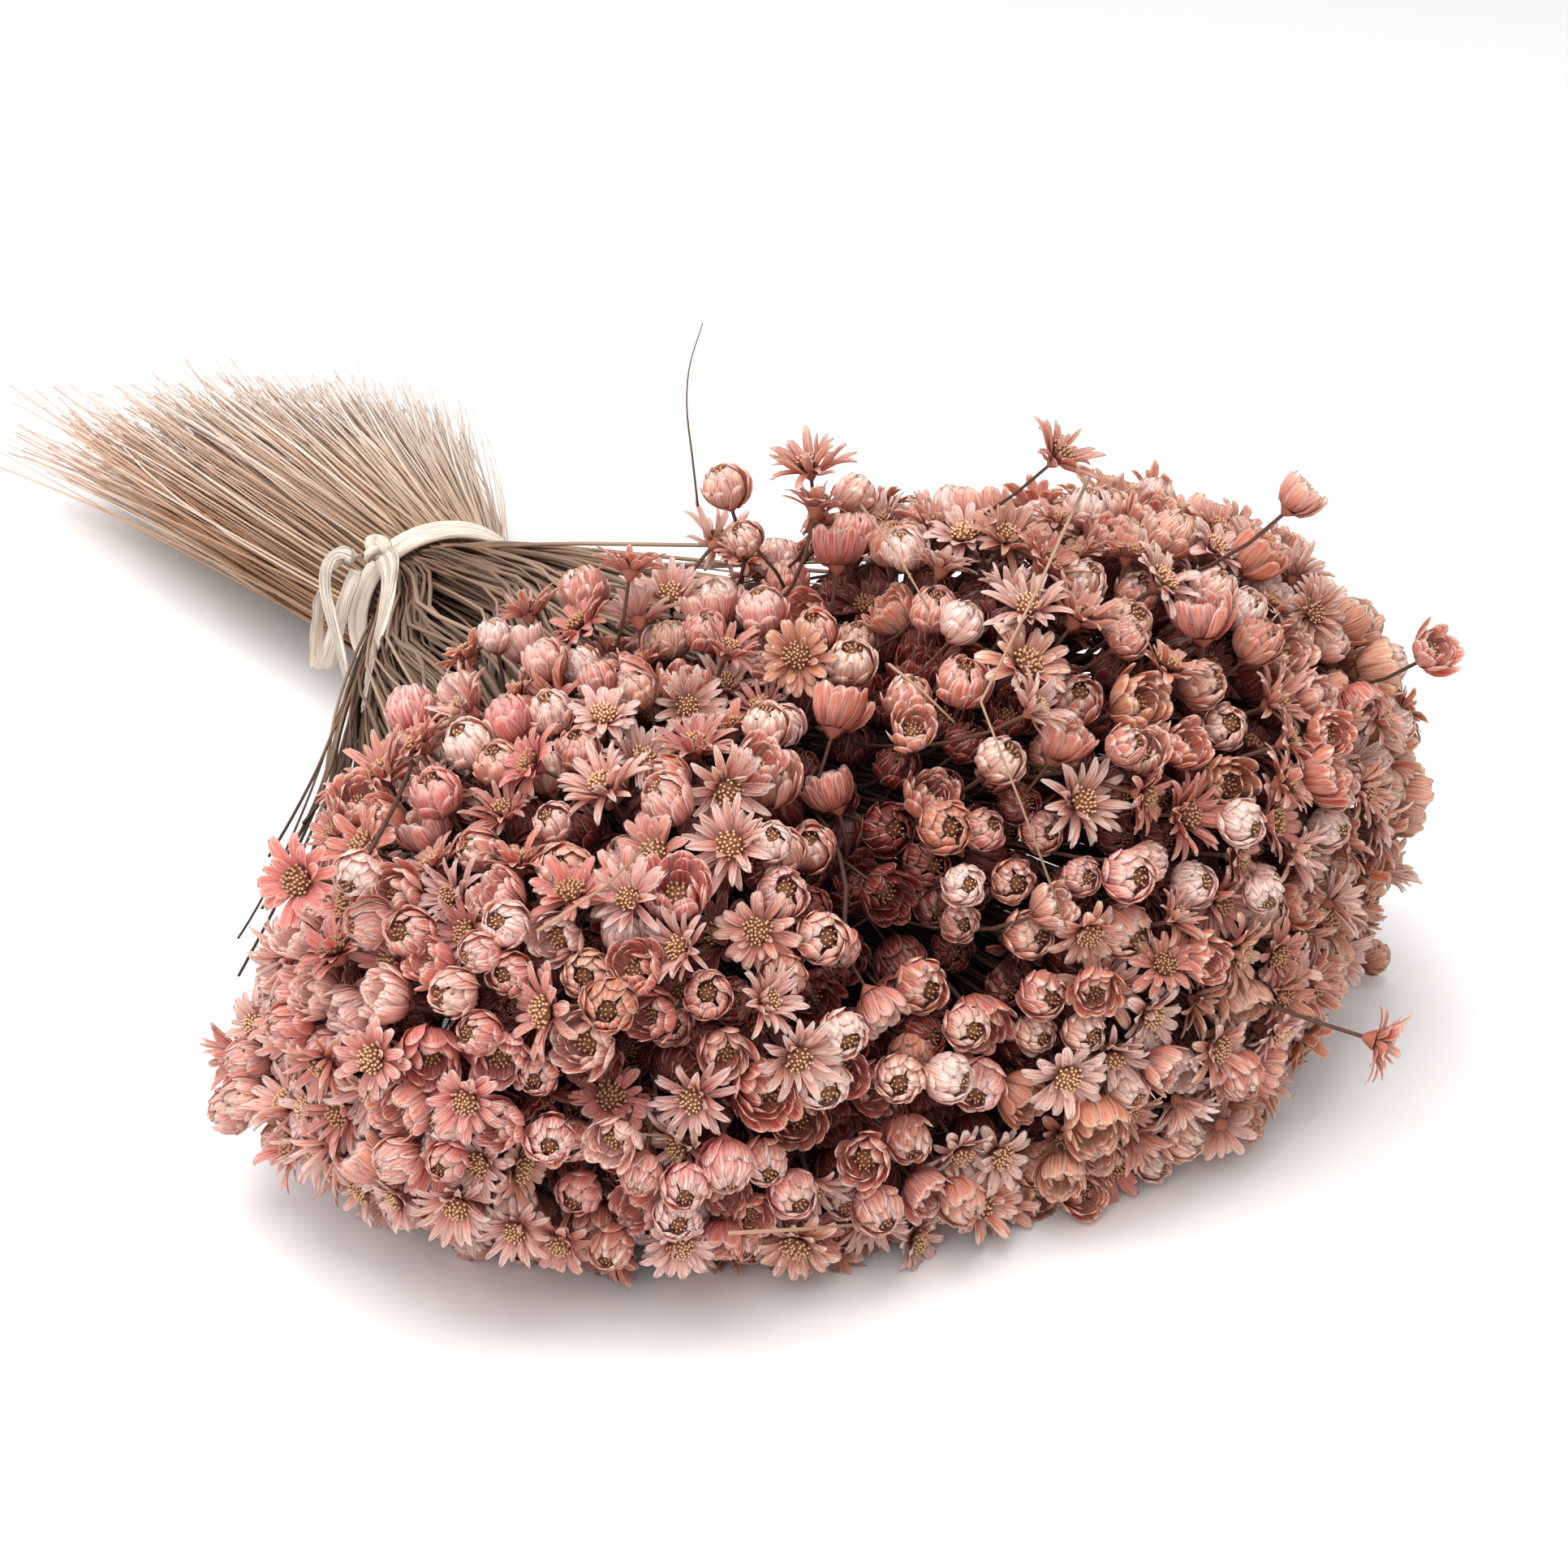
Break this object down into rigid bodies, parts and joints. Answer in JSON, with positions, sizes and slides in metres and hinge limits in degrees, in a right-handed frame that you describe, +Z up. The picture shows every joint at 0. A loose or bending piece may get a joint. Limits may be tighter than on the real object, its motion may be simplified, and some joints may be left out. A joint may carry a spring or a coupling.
{
  "type": "bunch of dried glixia",
  "caption": "Tied bunch of dried glixia star flowers lying on its side, with a broom of pale cut stems, a raffia tie and a broad lobed crown of dusty pink flowers",
  "frame": {"origin": "middle of the bunch's footprint on the surface it lies on", "axes": "+X along the bunch from the cut ends to the flowers, +Y to the left of someone looking that way, +Z up"},
  "size_m": [0.4468, 0.2184, 0.1218],
  "materials": {
    "petals": "matte",
    "stems": "matte",
    "raffia": "matte"
  },
  "bodies": {
    "root": {"flower_spray_1": "petals", "flower_spray_2": "petals", "flower_spray_3": "petals", "flower_spray_4": "petals", "flower_spray_5": "petals", "flower_spray_6": "petals", "flower_spray_7": "petals", "flower_spray_8": "petals", "flower_spray_9": "petals", "flower_spray_10": "petals", "flower_spray_11": "petals", "flower_spray_12": "petals", "flower_spray_13": "petals", "flower_spray_14": "petals", "flower_spray_15": "petals", "flower_spray_16": "petals", "flower_spray_17": "petals", "flower_spray_18": "petals", "flower_spray_19": "petals", "raffia_knot": "raffia", "raffia_tail_1": "raffia", "raffia_tail_2": "raffia", "raffia_wrap_1": "raffia", "raffia_wrap_2": "raffia", "stem_sheaf_1": "stems", "stem_sheaf_2": "stems", "stem_sheaf_3": "stems", "stem_sheaf_4": "stems", "stem_sheaf_5": "stems", "stem_sheaf_6": "stems", "stem_sheaf_7": "stems", "stem_sheaf_8": "stems", "stem_sheaf_9": "stems", "stem_sheaf_10": "stems", "stem_sheaf_11": "stems", "stem_sheaf_12": "stems", "stem_sheaf_13": "stems", "stem_sheaf_14": "stems", "stem_sheaf_15": "stems", "stem_sheaf_16": "stems", "stem_sheaf_17": "stems", "stem_sheaf_18": "stems", "stem_sheaf_19": "stems"}
  },
  "joints": []
}
